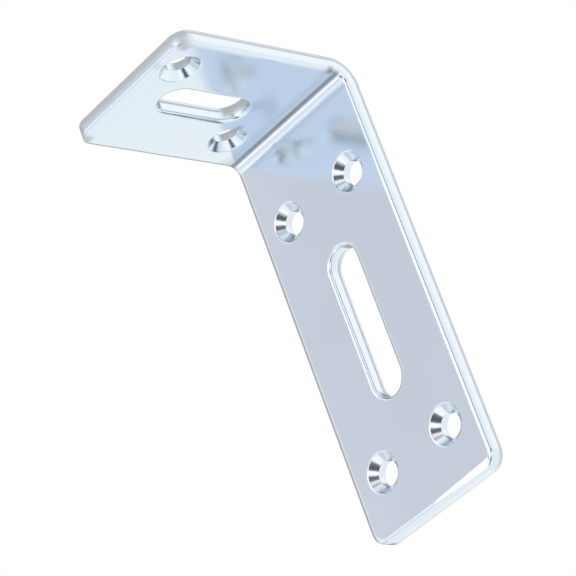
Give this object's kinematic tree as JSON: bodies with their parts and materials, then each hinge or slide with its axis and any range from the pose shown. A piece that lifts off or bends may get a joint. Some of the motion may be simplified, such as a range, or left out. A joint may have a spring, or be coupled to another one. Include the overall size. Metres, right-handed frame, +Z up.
{
  "type": "angle bracket",
  "caption": "Folded steel angle bracket with a slot in each leg and countersunk screw holes sunk from its inner faces, bright zinc plated.",
  "frame": {"origin": "middle of the long leg's four screw holes, on the leg's back face, which lies flat on what the bracket is fixed to", "axes": "+Z up the long leg to the fold, +Y into the face that the long leg is fixed to, +X across the width; the short leg reaches out along -Y at the top"},
  "size_m": [0.03, 0.04, 0.08],
  "materials": {
    "zinc_plated_steel": "bright blue zinc plating, satin on the flat faces and smoother on the rolled edges and in the countersinks"
  },
  "bodies": {
    "root": {"angle_bracket": "zinc_plated_steel"}
  },
  "joints": []
}
